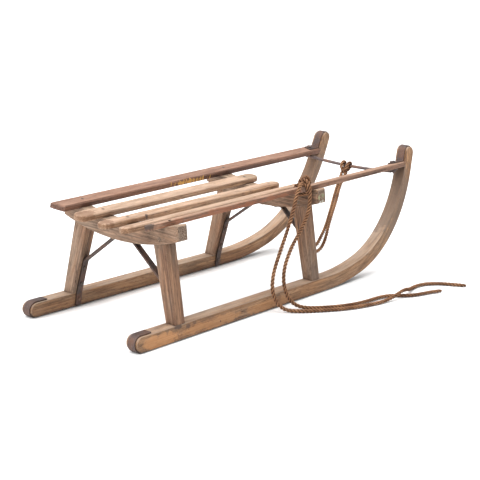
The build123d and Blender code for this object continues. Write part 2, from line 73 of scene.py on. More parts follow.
# small helpers for objects and shader trees
def makePiece(name, verts, faces, smooth=True):
    mesh = bpy.data.meshes.new(name)
    mesh.from_pydata([tuple(vert) for vert in verts], [], faces)
    mesh.update()
    if smooth:
        mesh.polygons.foreach_set("use_smooth", [True] * len(mesh.polygons))
    piece = bpy.data.objects.new(name, mesh)
    scene.collection.objects.link(piece)
    return piece


def put(tree, kind, inputs=None, **settings):
    node = tree.nodes.new(kind)
    for key, value in settings.items():
        setattr(node, key, value)
    for key, value in (inputs or {}).items():
        socket = node.inputs[key]
        if isinstance(value, bpy.types.NodeSocket):
            tree.links.new(value, socket)
        else:
            socket.default_value = value
    return node


def calc(tree, operation, first, second=0.0, third=0.0, clamp=False):
    node = put(tree, "ShaderNodeMath", {0: first, 1: second, 2: third}, operation=operation, use_clamp=clamp)
    return node.outputs[0]


def vector(tree, operation, first, second=(0, 0, 0)):
    node = put(tree, "ShaderNodeVectorMath", {0: first, 1: second}, operation=operation)
    return node.outputs["Value" if operation in ("DOT_PRODUCT", "LENGTH", "DISTANCE") else "Vector"]


def ramp(tree, value, low, high, start=0.0, end=1.0):
    node = put(tree, "ShaderNodeMapRange", {0: value, 1: low, 2: high, 3: start, 4: end})
    node.interpolation_type = "SMOOTHSTEP"
    return node.outputs[0]


def mix(tree, amount, first, second, blend="MIX"):
    node = put(tree, "ShaderNodeMix", data_type="RGBA", blend_type=blend)
    for index, value in ((0, amount), (6, first), (7, second)):
        if isinstance(value, bpy.types.NodeSocket):
            tree.links.new(value, node.inputs[index])
        else:
            node.inputs[index].default_value = value if index == 0 else (*value[:3], 1.0)
    return node.outputs[2]


def speckle(tree, place, scale, detail=2.0, roughness=0.5):
    node = put(tree, "ShaderNodeTexNoise", {
        "Vector": place, "Scale": scale, "Detail": detail, "Roughness": roughness})
    return node.outputs["Fac"]


def streaked(tree, place, stretch, detail=2.0, roughness=0.5):
    return speckle(tree, vector(tree, "MULTIPLY", place, stretch), 1.0, detail, roughness)


def newGroup(name, inputs, outputs):
    tree = bpy.data.node_groups.new(name, "ShaderNodeTree")
    for label, kind, default in inputs:
        socket = tree.interface.new_socket(label, in_out="INPUT", socket_type="NodeSocket" + kind)
        if default is not None:
            socket.default_value = default
    for label, kind in outputs:
        tree.interface.new_socket(label, in_out="OUTPUT", socket_type="NodeSocket" + kind)
    return tree, tree.nodes.new("NodeGroupInput").outputs, tree.nodes.new("NodeGroupOutput")


# grain frame: the piece's own coordinates turned so that X runs along its grain
tree, given, made = newGroup(
    "grain frame",
    [("Along", "Vector", (1, 0, 0)), ("Across", "Vector", (0, 1, 0)), ("Shift", "Vector", (0, 0, 0))],
    [("Vector", "Vector")],
)
place = put(tree, "ShaderNodeTexCoord").outputs["Object"]
third = vector(tree, "CROSS_PRODUCT", given["Along"], given["Across"])
turned = put(tree, "ShaderNodeCombineXYZ", {
    "X": vector(tree, "DOT_PRODUCT", place, given["Along"]),
    "Y": vector(tree, "DOT_PRODUCT", place, given["Across"]),
    "Z": vector(tree, "DOT_PRODUCT", place, third),
}).outputs[0]
tree.links.new(vector(tree, "ADD", turned, given["Shift"]), made.inputs["Vector"])
grainFrame = tree

# sweep frame: the same for a runner, whose grain was steamed round two arcs, metres and radians
sweep = {
    "start": 0.1395, "lowRadius": 0.5815, "lowTurn": math.radians(14), "highRadius": 0.2895, "lift": 0.0185,
}
tree, given, made = newGroup("sweep frame", [("Shift", "Vector", (0, 0, 0))], [("Vector", "Vector")])
place = put(tree, "ShaderNodeTexCoord").outputs["Object"]
axes = put(tree, "ShaderNodeSeparateXYZ", {0: place}).outputs
lowTop = sweep["lift"] + sweep["lowRadius"]
highX = sweep["start"] + (sweep["lowRadius"] - sweep["highRadius"]) * math.sin(sweep["lowTurn"])
highTop = lowTop - (sweep["lowRadius"] - sweep["highRadius"]) * math.cos(sweep["lowTurn"])


def arcPlace(centreX, centreZ, radius, lead):
    ahead = calc(tree, "SUBTRACT", axes["X"], centreX)
    below = calc(tree, "SUBTRACT", centreZ, axes["Z"])
    turn = calc(tree, "ARCTAN2", ahead, below)
    reach = calc(tree, "SQRT", calc(tree, "MULTIPLY_ADD", ahead, ahead, calc(tree, "MULTIPLY", below, below)))
    return turn, calc(tree, "MULTIPLY_ADD", turn, radius, lead), calc(tree, "SUBTRACT", radius, reach)


lowAngle, lowRun, lowDepth = arcPlace(sweep["start"], lowTop, sweep["lowRadius"], sweep["start"])
highLead = sweep["start"] + (sweep["lowRadius"] - sweep["highRadius"]) * sweep["lowTurn"]
_, highRun, highDepth = arcPlace(highX, highTop, sweep["highRadius"], highLead)
past = calc(tree, "GREATER_THAN", axes["X"], sweep["start"])
high = calc(tree, "GREATER_THAN", lowAngle, sweep["lowTurn"])


def choose(flag, first, second):
    node = put(tree, "ShaderNodeMix", data_type="FLOAT")
    for index, value in ((0, flag), (2, first), (3, second)):
        tree.links.new(value, node.inputs[index])
    return node.outputs[0]


flatDepth = calc(tree, "SUBTRACT", axes["Z"], sweep["lift"])
run = choose(past, axes["X"], choose(high, lowRun, highRun))
depth = choose(past, flatDepth, choose(high, lowDepth, highDepth))
laid = put(tree, "ShaderNodeCombineXYZ", {"X": run, "Y": axes["Y"], "Z": depth}).outputs[0]
tree.links.new(vector(tree, "ADD", laid, given["Shift"]), made.inputs["Vector"])
sweepFrame = tree

# old wood: fibres, growth rings, pores and drying cracks, gone grey in patches; stretches are per metre
grainSettings = {
    "drift": (3, 14, 14), "driftReach": (0.02, 0.011, 0.011),
    "fibres": (11, 520, 520), "streaks": (2.6, 90, 90), "patches": (5, 22, 22), "mottle": (60, 150, 150),
    "ringMiddle": (0, 0.021, 0.034), "ringStretch": (0.1, 1, 1), "ringScale": 88.0, "ringWarp": 4.0,
    "pores": (42, 640, 640), "splits": (1.9, 78, 78), "splitPlaces": (7, 30, 30),
    "ringDark": 0.22, "mottleDark": 0.5, "poreDark": 0.45,
    "rough": 0.56, "fibreRough": 0.22, "poreRough": 0.08,
    "fibreHeight": 0.55, "ringHeight": -0.25, "poreDepth": 0.35, "crackDepth": 1.6,
}
look = grainSettings
tree, given, made = newGroup(
    "old wood",
    [("Vector", "Vector", None), ("Pale", "Color", (0.5, 0.4, 0.3, 1)), ("Brown", "Color", (0.3, 0.2, 0.1, 1)),
     ("Grey", "Color", (0.35, 0.3, 0.27, 1)), ("Dark", "Color", (0.05, 0.03, 0.02, 1)),
     ("Greyness", "Float", 0.5), ("Cracks", "Float", 0.5)],
    [("Color", "Color"), ("Roughness", "Float"), ("Height", "Float")],
)
place = given["Vector"]
drift = put(tree, "ShaderNodeTexNoise", {
    "Vector": vector(tree, "MULTIPLY", place, look["drift"]), "Scale": 1.0, "Detail": 2.0}).outputs["Color"]
drift = vector(tree, "MULTIPLY", vector(tree, "SUBTRACT", drift, (0.5, 0.5, 0.5)), look["driftReach"])
wavy = vector(tree, "ADD", place, drift)
fibres = streaked(tree, wavy, look["fibres"], 4.0, 0.62)
streaks = streaked(tree, wavy, look["streaks"], 3.0, 0.55)
patches = streaked(tree, place, look["patches"], 5.0, 0.6)
mottle = streaked(tree, place, look["mottle"], 4.0, 0.65)
rings = put(tree, "ShaderNodeTexWave", {
    "Vector": vector(tree, "MULTIPLY", vector(tree, "ADD", wavy, look["ringMiddle"]), look["ringStretch"]),
    "Scale": look["ringScale"], "Distortion": look["ringWarp"], "Detail": 2.0, "Detail Scale": 0.6,
}, wave_type="RINGS", rings_direction="X").outputs["Fac"]
pores = put(tree, "ShaderNodeTexVoronoi", {
    "Vector": vector(tree, "MULTIPLY", wavy, look["pores"]), "Scale": 1.0}).outputs["Distance"]
pore = ramp(tree, pores, 0.3, 0.12)
split = calc(tree, "ABSOLUTE", calc(tree, "SUBTRACT", streaked(tree, wavy, look["splits"], 1.5, 0.4), 0.5))
splitWhere = ramp(tree, streaked(tree, place, look["splitPlaces"], 1.0), 0.5, 0.62)
crack = calc(tree, "MULTIPLY", ramp(tree, split, 0.011, 0.002), splitWhere)
crack = calc(tree, "MULTIPLY", crack, given["Cracks"])
color = mix(tree, ramp(tree, streaks, 0.26, 0.74), given["Brown"], given["Pale"])
greyed = calc(tree, "MULTIPLY", ramp(tree, patches, 0.38, 0.66), given["Greyness"])
color = mix(tree, greyed, color, given["Grey"])
shade = ramp(tree, fibres, 0.3, 0.72, 0.55, 1.3)
shaded = put(tree, "ShaderNodeCombineXYZ", {"X": shade, "Y": shade, "Z": shade}).outputs[0]
color = mix(tree, 1.0, color, shaded, "MULTIPLY")
ringLine = ramp(tree, rings, 0.42, 0.06)
blots = ramp(tree, mottle, 0.53, 0.72)
for mask, strength in ((ringLine, "ringDark"), (blots, "mottleDark"), (pore, "poreDark")):
    color = mix(tree, calc(tree, "MULTIPLY", mask, look[strength]), color, given["Dark"])
color = mix(tree, crack, color, given["Dark"])
tree.links.new(color, made.inputs["Color"])
rough = calc(tree, "MULTIPLY_ADD", fibres, look["fibreRough"], look["rough"])
rough = calc(tree, "ADD", rough, calc(tree, "MULTIPLY", pore, look["poreRough"]), clamp=True)
tree.links.new(rough, made.inputs["Roughness"])
ringHeight = calc(tree, "MULTIPLY", ringLine, look["ringHeight"])
height = calc(tree, "MULTIPLY_ADD", fibres, look["fibreHeight"], ringHeight)
height = calc(tree, "SUBTRACT", height, calc(tree, "MULTIPLY", pore, look["poreDepth"]))
height = calc(tree, "SUBTRACT", height, calc(tree, "MULTIPLY", crack, look["crackDepth"]))
tree.links.new(height, made.inputs["Height"])
oldWood = tree

# edge wear: a ragged mask along corners, from how far a rounded normal leaves the flat one
wearSettings = {"radius": 0.0022, "chipScale": 95.0, "chipShare": 0.25, "start": 0.02, "full": 0.13}
tree, given, made = newGroup(
    "edge wear", [("Vector", "Vector", None), ("Ragged", "Float", 0.5)],
    [("Mask", "Float"), ("Normal", "Vector")])
rounded = put(tree, "ShaderNodeBevel", {"Radius": wearSettings["radius"]}, samples=6).outputs[0]
flat = put(tree, "ShaderNodeNewGeometry").outputs["Normal"]
corner = calc(tree, "SUBTRACT", 1.0, vector(tree, "DOT_PRODUCT", rounded, flat))
chips = speckle(tree, given["Vector"], wearSettings["chipScale"], 4.0, 0.6)
level = calc(tree, "MULTIPLY", calc(tree, "SUBTRACT", chips, 0.5), given["Ragged"])
worn = calc(tree, "ADD", corner, calc(tree, "MULTIPLY", level, wearSettings["chipShare"]))
tree.links.new(ramp(tree, worn, wearSettings["start"], wearSettings["full"]), made.inputs["Mask"])
tree.links.new(rounded, made.inputs["Normal"])
edgeWear = tree

# painted shade: an ambient-occlusion mask, broken up by noise, that darkens the corners where pieces meet
cornerShadeSettings = {"scale": 60.0, "uneven": 0.5, "start": 0.78, "full": 0.25}
tree, given, made = newGroup(
    "cornerShade", [("Vector", "Vector", None), ("Reach", "Float", 0.02)], [("Mask", "Float")])
exposed = put(tree, "ShaderNodeAmbientOcclusion", {"Distance": given["Reach"]}, samples=5).outputs["AO"]
uneven = calc(tree, "SUBTRACT", speckle(tree, given["Vector"], cornerShadeSettings["scale"], 3.0), 0.5)
uneven = calc(tree, "MULTIPLY", uneven, cornerShadeSettings["uneven"])
mask = ramp(tree, calc(tree, "ADD", exposed, uneven), cornerShadeSettings["start"], cornerShadeSettings["full"])
tree.links.new(mask, made.inputs["Mask"])
cornerShade = tree

# patch: a ragged spot round a point, for stains, worn places and flecks
patchSettings = {"tear": 3.0, "outer": 1.05, "inner": 0.75}
tree, given, made = newGroup(
    "patch", [("Centre", "Vector", (0, 0, 0)), ("Size", "Vector", (0.01, 0.01, 0.01)), ("Ragged", "Float", 0.6),
              ("Stretch", "Vector", (90, 90, 90))], [("Mask", "Float")])
place = put(tree, "ShaderNodeTexCoord").outputs["Object"]
away = vector(tree, "DIVIDE", vector(tree, "SUBTRACT", place, given["Centre"]), given["Size"])
away = vector(tree, "LENGTH", away)
torn = calc(tree, "SUBTRACT", streaked(tree, place, given["Stretch"], 4.0, 0.65), 0.5)
torn = calc(tree, "MULTIPLY", torn, given["Ragged"])
reach = calc(tree, "MULTIPLY_ADD", torn, patchSettings["tear"], away)
tree.links.new(ramp(tree, reach, patchSettings["outer"], patchSettings["inner"]), made.inputs["Mask"])
patch = tree
print("shader groups built")


def useGroup(tree, group, **values):
    node = tree.nodes.new("ShaderNodeGroup")
    node.node_tree = group
    for key, value in values.items():
        socket = node.inputs[key]
        if isinstance(value, bpy.types.NodeSocket):
            tree.links.new(value, socket)
        elif socket.type == "RGBA":
            socket.default_value = (*value, 1.0)
        else:
            socket.default_value = value
    return node.outputs


def newMaterial(name):
    material = bpy.data.materials.new(name)
    material.use_nodes = True
    tree = material.node_tree
    return material, tree, tree.nodes["Principled BSDF"]


def dress(node, material):
    obj = nodes[node] if isinstance(node, str) else node
    obj.data.materials.clear()
    obj.data.materials.append(material)


# each wood's colours, linear
woodFinish = {
    "runner": {
        "pale": (0.40, 0.215, 0.105), "brown": (0.20, 0.097, 0.044), "grey": (0.30, 0.2, 0.125),
        "dark": (0.04, 0.02, 0.012), "top": (0.41, 0.33, 0.265),
        "greyness": 0.6, "cracks": 0.9, "endGrain": 0.3,
    },
    "frame": {
        "pale": (0.32, 0.175, 0.098), "brown": (0.15, 0.074, 0.042), "grey": (0.27, 0.19, 0.135),
        "dark": (0.03, 0.017, 0.011), "top": (0.40, 0.29, 0.205),
        "greyness": 0.8, "cracks": 1.0, "endGrain": 0.85,
    },
    "leftRail": {
        "pale": (0.25, 0.118, 0.068), "brown": (0.10, 0.04, 0.025), "grey": (0.22, 0.135, 0.105),
        "dark": (0.03, 0.013, 0.009), "top": (0.36, 0.215, 0.15),
        "greyness": 0.5, "cracks": 1.0, "endGrain": 0.4,
    },
    "rightRail": {
        "pale": (0.31, 0.158, 0.09), "brown": (0.13, 0.056, 0.032), "grey": (0.28, 0.19, 0.145),
        "dark": (0.03, 0.014, 0.009), "top": (0.42, 0.275, 0.195),
        "greyness": 0.4, "cracks": 1.0, "endGrain": 0.75,
    },
    "slat": {
        "pale": (0.42, 0.245, 0.14), "brown": (0.225, 0.112, 0.056), "grey": (0.36, 0.255, 0.18),
        "dark": (0.05, 0.026, 0.015), "top": (0.52, 0.375, 0.28),
        "greyness": 0.5, "cracks": 0.8, "endGrain": 0.25,
    },
}
# how all of the wood has weathered, together with the painted shade in its corners and the painted top light on
# its upward faces
weatherAndPaintedLight = {
    "bump": 0.0011, "bumpStrength": 0.75, "shine": 0.32, "chips": 0.8, "edge": 0.5,
    "cornerShade": 0.85, "cornerShadeReach": 0.028, "paintedTopLight": (1.3, 1.3, 1.3), "bleach": 0.6,
    "wornStretch": (14, 85, 85), "pits": 420.0, "spotRagged": 0.6, "tornRagged": 1.7,
}


# a mark is (centre, size, colour, strength, scale), and a scale for each axis tears its outline along the grain
def woodMaterial(name, finish, frameGroup, marks=(), topAmount=1.0, **frameValues):
    look = woodFinish[finish]
    material, tree, shader = newMaterial(name)
    place = useGroup(tree, frameGroup, **frameValues)["Vector"]
    wood = useGroup(tree, oldWood, Vector=place, Pale=look["pale"], Brown=look["brown"], Grey=look["grey"],
                    Dark=look["dark"], Greyness=look["greyness"], Cracks=look["cracks"])
    wear = useGroup(tree, edgeWear, Vector=place, Ragged=weatherAndPaintedLight["chips"])
    cornerShadeMask = useGroup(tree, cornerShade, Vector=place, Reach=weatherAndPaintedLight["cornerShadeReach"])["Mask"]
    normal = put(tree, "ShaderNodeNewGeometry").outputs["Normal"]
    upward = put(tree, "ShaderNodeSeparateXYZ", {0: normal}).outputs["Z"]
    # painted top light and bleaching: faces that look up get the wood colour brightened and blended towards the
    # pale top colour, in streaks
    litAndBleached = mix(tree, 1.0, wood["Color"], weatherAndPaintedLight["paintedTopLight"], "MULTIPLY")
    litAndBleached = mix(tree, weatherAndPaintedLight["bleach"], litAndBleached, look["top"])
    worn = streaked(tree, place, weatherAndPaintedLight["wornStretch"], 4.0, 0.6)
    topLitAndBleached = calc(tree, "MULTIPLY", ramp(tree, upward, 0.25, 0.9), ramp(tree, worn, 0.32, 0.62, 0.35, topAmount))
    color = mix(tree, topLitAndBleached, wood["Color"], litAndBleached)
    color = mix(tree, calc(tree, "MULTIPLY", wear["Mask"], weatherAndPaintedLight["edge"]), color, look["top"])
    # painted shade: the corners where pieces meet are darkened towards the dark wood colour
    color = mix(tree, calc(tree, "MULTIPLY", cornerShadeMask, weatherAndPaintedLight["cornerShade"]), color, look["dark"])
    if "Along" in frameValues:
        facing = calc(tree, "ABSOLUTE", vector(tree, "DOT_PRODUCT", normal, frameValues["Along"]))
        cut = calc(tree, "MULTIPLY", ramp(tree, facing, 0.7, 0.93), look["endGrain"])
        pitted = ramp(tree, speckle(tree, place, weatherAndPaintedLight["pits"], 3.0, 0.6), 0.35, 0.65)
        color = mix(tree, cut, color, mix(tree, pitted, look["dark"], look["grey"]))
    for centre, size, tint, strength, stretch in marks:
        ragged = weatherAndPaintedLight["tornRagged"]
        if not isinstance(stretch, tuple):
            ragged, stretch = weatherAndPaintedLight["spotRagged"], (stretch, stretch, stretch)
        spot = useGroup(tree, patch, Centre=centre, Size=size, Ragged=ragged, Stretch=stretch)["Mask"]
        color = mix(tree, calc(tree, "MULTIPLY", spot, strength), color, tint)
    tree.links.new(color, shader.inputs["Base Color"])
    tree.links.new(wood["Roughness"], shader.inputs["Roughness"])
    shader.inputs["Specular IOR Level"].default_value = weatherAndPaintedLight["shine"]
    bump = put(tree, "ShaderNodeBump", {
        "Height": wood["Height"], "Strength": weatherAndPaintedLight["bumpStrength"], "Distance": weatherAndPaintedLight["bump"],
        "Normal": wear["Normal"]})
    tree.links.new(bump.outputs[0], shader.inputs["Normal"])
    return material


# runners, with linear colours for the marks of all the wood
orange, soot, darkBrown = (0.55, 0.26, 0.10), (0.06, 0.04, 0.035), (0.16, 0.075, 0.036)
runnerMarks = [
    ((-0.45, -0.17, 0.014), (0.055, 0.02, 0.017), orange, 0.5, 60.0),
    ((-0.28, -0.17, 0.016), (0.10, 0.02, 0.012), orange, 0.35, 45.0),
    ((-0.1, -0.17, 0.015), (0.09, 0.02, 0.012), orange, 0.35, 45.0),
    ((-0.395, -0.17, 0.031), (0.013, 0.02, 0.005), soot, 0.75, 200.0),
    ((-0.365, -0.17, 0.027), (0.008, 0.02, 0.006), soot, 0.7, 240.0),
    ((-0.345, -0.17, 0.029), (0.006, 0.02, 0.004), soot, 0.55, 240.0),
    ((-0.30, -0.168, 0.026), (0.03, 0.02, 0.006), soot, 0.3, 120.0),
    ((-0.262, -0.17, 0.0135), (0.0022, 0.02, 0.0022), soot, 0.95, 300.0),
    ((-0.06, -0.168, 0.022), (0.012, 0.02, 0.01), soot, 0.4, 200.0),
    # this last mark darkens the upper inner face of the curled front: painted shade
    ((0.43, -0.13, 0.17), (0.10, 0.06, 0.11), (0.15, 0.105, 0.078), 0.68, 30.0),
]
# the far runner's curled front gets the same painted shade on its upper inner face
farRunnerCurlShade = [((0.43, 0.13, 0.17), (0.10, 0.06, 0.11), (0.17, 0.115, 0.085), 0.5, 30.0)]
for name, side, marks in (("left_runner", 1, farRunnerCurlShade), ("right_runner", -1, runnerMarks)):
    dress(name, woodMaterial(name, "runner", sweepFrame, marks=marks, topAmount=0.85,
                             Shift=(0.3 * side, 0.02 * side, 0.0)))

# legs lean inwards, and so does their grain
legLean = math.radians(12.6)
for end in ("rear", "front"):
    for name, side in (("left", 1), ("right", -1)):
        along = (0.0, -side * math.sin(legLean), math.cos(legLean))
        marks = []
        if (end, name) == ("front", "right"):
            marks = [((0.09, -0.16, 0.05), (0.02, 0.02, 0.03), soot, 0.3, 80.0)]
        dress(f"{end}_{name}_leg", woodMaterial(
            f"{end}_{name}_leg", "frame", grainFrame, marks=marks,
            Along=along, Across=(1.0, 0.0, 0.0), Shift=(0.37 * side, 0.11, 0.05 if end == "rear" else 0.4)))

# crossbars; the front one keeps flecks of old paint on its right end
flecks = [
    ((0.079, -0.168, 0.232), (0.004, 0.008, 0.006), (0.34, 0.36, 0.18), 0.6, 320.0),
    ((0.083, -0.168, 0.216), (0.003, 0.008, 0.008), (0.75, 0.76, 0.66), 0.75, 360.0),
    ((0.093, -0.168, 0.236), (0.006, 0.008, 0.005), (0.22, 0.24, 0.13), 0.6, 320.0),
    ((0.091, -0.168, 0.222), (0.004, 0.008, 0.004), (0.55, 0.56, 0.46), 0.5, 400.0),
]
for end, marks in (("rear", ()), ("front", flecks)):
    dress(f"{end}_crossbar", woodMaterial(
        f"{end}_crossbar", "frame", grainFrame, marks=marks,
        Along=(0.0, 1.0, 0.0), Across=(1.0, 0.0, 0.0), Shift=(0.2, 0.05 if end == "rear" else 0.31, 0.0)))

# seat boards
ochre = (0.62, 0.33, 0.08)
railMarks = {
    "left_rail": [
        ((-0.05, 0.113, 0.241), (0.055, 0.008, 0.0055), ochre, 0.9, (230.0, 25.0, 40.0)),
    ],
    "right_rail": [((-0.2, -0.133, 0.238), (0.3, 0.006, 0.012), (0.26, 0.095, 0.045), 0.6, (25.0, 60.0, 160.0)),
        ((-0.448, -0.13, 0.245), (0.02, 0.02, 0.012), (0.05, 0.038, 0.034), 0.8, 130.0)],
}
slatMarks = {
    "left_slat": [((-0.44, 0.06, 0.23), (0.03, 0.02, 0.012), darkBrown, 0.6, 90.0),
                  ((0.1, 0.06, 0.245), (0.03, 0.02, 0.012), (0.24, 0.17, 0.11), 0.6, 70.0)],
    "middle_slat": [((-0.345, -0.024, 0.228), (0.004, 0.006, 0.007), soot, 0.85, 200.0),
                    ((-0.45, -0.01, 0.225), (0.02, 0.02, 0.01), darkBrown, 0.7, 110.0)],
    "right_slat": [((-0.46, -0.08, 0.23), (0.018, 0.02, 0.01), darkBrown, 0.5, 110.0)],
}
for number, name in enumerate(("left_rail", "right_rail", "left_slat", "middle_slat", "right_slat")):
    finish = {"left_rail": "leftRail", "right_rail": "rightRail"}.get(name, "slat")
    dress(name, woodMaterial(
        name, finish, grainFrame, marks=railMarks.get(name) or slatMarks.get(name),
        Along=(1.0, 0.0, 0.0), Across=(0.0, 1.0, 0.0), Shift=(0.61 * number, 0.07 * number, 0.0)))
dress("crossbar_pegs", woodMaterial("crossbar_pegs", "frame", grainFrame, Along=(1.0, 0.0, 0.0), topAmount=0.2))
print("wood finished")

# old iron: brown-black scale with clouds of rust, rubbed brighter on corners, and painted shade darkening its
# hollows
ironFinish = {
    "strap": {
        "base": (0.075, 0.05, 0.045), "bright": (0.22, 0.165, 0.15),
        "rust": (0.13, 0.065, 0.042), "rough": 0.55,
    },
    "stay": {
        "base": (0.05, 0.033, 0.028), "bright": (0.17, 0.125, 0.105),
        "rust": (0.11, 0.05, 0.03), "rough": 0.55,
    },
    "rod": {
        "base": (0.085, 0.06, 0.056), "bright": (0.24, 0.2, 0.19),
        "rust": (0.15, 0.075, 0.048), "rough": 0.45,
    },
    "screw": {
        "base": (0.05, 0.036, 0.03), "bright": (0.2, 0.165, 0.14),
        "rust": (0.14, 0.065, 0.035), "rough": 0.5,
    },
}
ironSettings = {
    "scale": 260.0, "clouds": 38.0, "pits": 420.0, "cornerShadeReach": 0.01, "cornerShade": (0.03, 0.02, 0.016),
    "metallic": 0.45, "bump": 0.0006, "bumpStrength": 0.6,
}


def ironMaterial(name, finish):
    look = ironFinish[finish]
    material, tree, shader = newMaterial(name)
    place = put(tree, "ShaderNodeTexCoord").outputs["Object"]
    wear = useGroup(tree, edgeWear, Vector=place, Ragged=1.0)
    cornerShadeMask = useGroup(tree, cornerShade, Vector=place, Reach=ironSettings["cornerShadeReach"])["Mask"]
    scale = speckle(tree, place, ironSettings["scale"], 5.0, 0.65)
    clouds = speckle(tree, place, ironSettings["clouds"], 4.0, 0.6)
    pits = put(tree, "ShaderNodeTexVoronoi", {"Vector": place, "Scale": ironSettings["pits"]})
    pit = ramp(tree, pits.outputs["Distance"], 0.28, 0.08)
    color = mix(tree, ramp(tree, clouds, 0.42, 0.66), look["base"], look["rust"])
    color = mix(tree, calc(tree, "MULTIPLY", ramp(tree, scale, 0.5, 0.72), 0.4), color, look["bright"])
    color = mix(tree, calc(tree, "MULTIPLY", wear["Mask"], 0.6), color, look["bright"])
    # painted shade: hollows and corners are darkened towards near black
    color = mix(tree, calc(tree, "MULTIPLY", cornerShadeMask, 0.8), color, ironSettings["cornerShade"])
    tree.links.new(color, shader.inputs["Base Color"])
    shader.inputs["Metallic"].default_value = ironSettings["metallic"]
    rough = calc(tree, "MULTIPLY_ADD", clouds, 0.3, look["rough"] - 0.12)
    tree.links.new(rough, shader.inputs["Roughness"])
    height = calc(tree, "MULTIPLY_ADD", scale, 0.5, calc(tree, "MULTIPLY", pit, -0.5))
    bump = put(tree, "ShaderNodeBump", {
        "Height": height, "Strength": ironSettings["bumpStrength"], "Distance": ironSettings["bump"],
        "Normal": wear["Normal"]})
    tree.links.new(bump.outputs[0], shader.inputs["Normal"])
    return material


strapIron, stayIron = ironMaterial("strap iron", "strap"), ironMaterial("stay iron", "stay")
rodIron, screwIron = ironMaterial("rod iron", "rod"), ironMaterial("screw iron", "screw")
for name in nodes:
    if name.endswith("_iron"):
        dress(name, strapIron)
    elif name.endswith("_stay"):
        dress(name, stayIron)
    elif name in ("pull_rod", "tab_bolts", "tab_nuts"):
        dress(name, rodIron)
    elif name.endswith("_screws"):
        dress(name, screwIron)
print("iron finished")

# ropes: each route is its spline's control points in metres, and three strands are laid round it
ropeSettings = {
    "radius": 0.00425, "strandOffset": 0.0024, "strandRadius": 0.0022, "pitch": 0.026, "step": 0.0012,
    "sides": 9, "endTaper": 0.010, "endShare": 0.72, "wobble": 0.07, "wobbleScale": 210.0,
}
ropeRoutes = {
    "rope_strand_left": [
        (0.433, 0.012, 0.218), (0.415, 0.004, 0.205), (0.382, -0.010, 0.189), (0.349, -0.025, 0.169),
        (0.317, -0.041, 0.152), (0.283, -0.057, 0.133), (0.251, -0.071, 0.114), (0.219, -0.083, 0.101),
        (0.188, -0.094, 0.088), (0.160, -0.100, 0.085), (0.139, -0.103, 0.096), (0.126, -0.105, 0.120),
        (0.119, -0.106, 0.156), (0.116, -0.106, 0.192), (0.114, -0.105, 0.224), (0.110, -0.106, 0.244),
        (0.101, -0.110, 0.256), (0.087, -0.116, 0.261), (0.070, -0.121, 0.259),
    ],
    "rope_strand_right": [
        (0.438, 0.003, 0.216), (0.407, -0.009, 0.204), (0.377, -0.021, 0.190), (0.342, -0.039, 0.171),
        (0.312, -0.053, 0.156), (0.281, -0.067, 0.139), (0.253, -0.079, 0.120), (0.231, -0.090, 0.103),
        (0.208, -0.098, 0.084), (0.182, -0.104, 0.075), (0.159, -0.109, 0.078), (0.144, -0.112, 0.095),
        (0.135, -0.112, 0.121), (0.130, -0.110, 0.150), (0.127, -0.109, 0.180), (0.126, -0.108, 0.208),
        (0.124, -0.107, 0.235), (0.117, -0.109, 0.255), (0.103, -0.113, 0.268), (0.086, -0.118, 0.272),
        (0.070, -0.123, 0.268),
    ],
    "rope_tail_left": [
        (0.060, -0.132, 0.263), (0.047, -0.139, 0.265), (0.033, -0.144, 0.262), (0.021, -0.148, 0.252),
        (0.010, -0.151, 0.236), (-0.001, -0.155, 0.216), (-0.017, -0.159, 0.193), (-0.035, -0.164, 0.169),
        (-0.054, -0.168, 0.145), (-0.073, -0.173, 0.122), (-0.090, -0.177, 0.100), (-0.102, -0.181, 0.076),
        (-0.106, -0.185, 0.053), (-0.102, -0.190, 0.033), (-0.091, -0.196, 0.016), (-0.078, -0.206, 0.006),
        (-0.064, -0.222, 0.0047), (-0.044, -0.240, 0.0047), (-0.017, -0.258, 0.0047), (0.014, -0.278, 0.0047),
        (0.050, -0.295, 0.0047), (0.088, -0.307, 0.0047), (0.122, -0.315, 0.0047), (0.152, -0.319, 0.0047),
        (0.178, -0.323, 0.009), (0.203, -0.326, 0.0165), (0.235, -0.322, 0.0165), (0.265, -0.314, 0.008),
        (0.295, -0.305, 0.0047), (0.326, -0.305, 0.0047), (0.352, -0.314, 0.0047), (0.375, -0.333, 0.0047),
        (0.392, -0.359, 0.0047), (0.408, -0.387, 0.0047),
    ],
    "rope_tail_right": [
        (0.066, -0.131, 0.270), (0.064, -0.142, 0.269), (0.062, -0.150, 0.257), (0.061, -0.153, 0.238),
        (0.058, -0.156, 0.216), (0.046, -0.160, 0.194), (0.027, -0.163, 0.175), (0.005, -0.168, 0.158),
        (-0.018, -0.171, 0.141), (-0.039, -0.176, 0.122), (-0.056, -0.180, 0.102), (-0.066, -0.184, 0.080),
        (-0.068, -0.188, 0.057), (-0.061, -0.192, 0.035), (-0.050, -0.197, 0.018), (-0.039, -0.207, 0.008),
        (-0.028, -0.222, 0.0047), (-0.008, -0.240, 0.0047), (0.020, -0.259, 0.0047), (0.058, -0.277, 0.0047),
        (0.098, -0.288, 0.0047), (0.132, -0.291, 0.0047), (0.162, -0.293, 0.0047), (0.188, -0.299, 0.0047),
        (0.207, -0.311, 0.0047), (0.223, -0.328, 0.0047), (0.243, -0.341, 0.0047), (0.270, -0.349, 0.0047),
        (0.298, -0.356, 0.0047), (0.324, -0.367, 0.0047),
    ],
}


def splineCurve(name, points, closed=False):
    curve = bpy.data.curves.new(name, "CURVE")
    curve.dimensions = "3D"
    curve.resolution_u = 24
    spline = curve.splines.new("NURBS")
    spline.points.add(len(points) - 1)
    for point, place in zip(spline.points, points):
        point.co = (*place, 1.0)
    spline.order_u = 3
    spline.use_cyclic_u = closed
    spline.use_endpoint_u = not closed
    piece = bpy.data.objects.new(name, curve)
    scene.collection.objects.link(piece)
    return piece


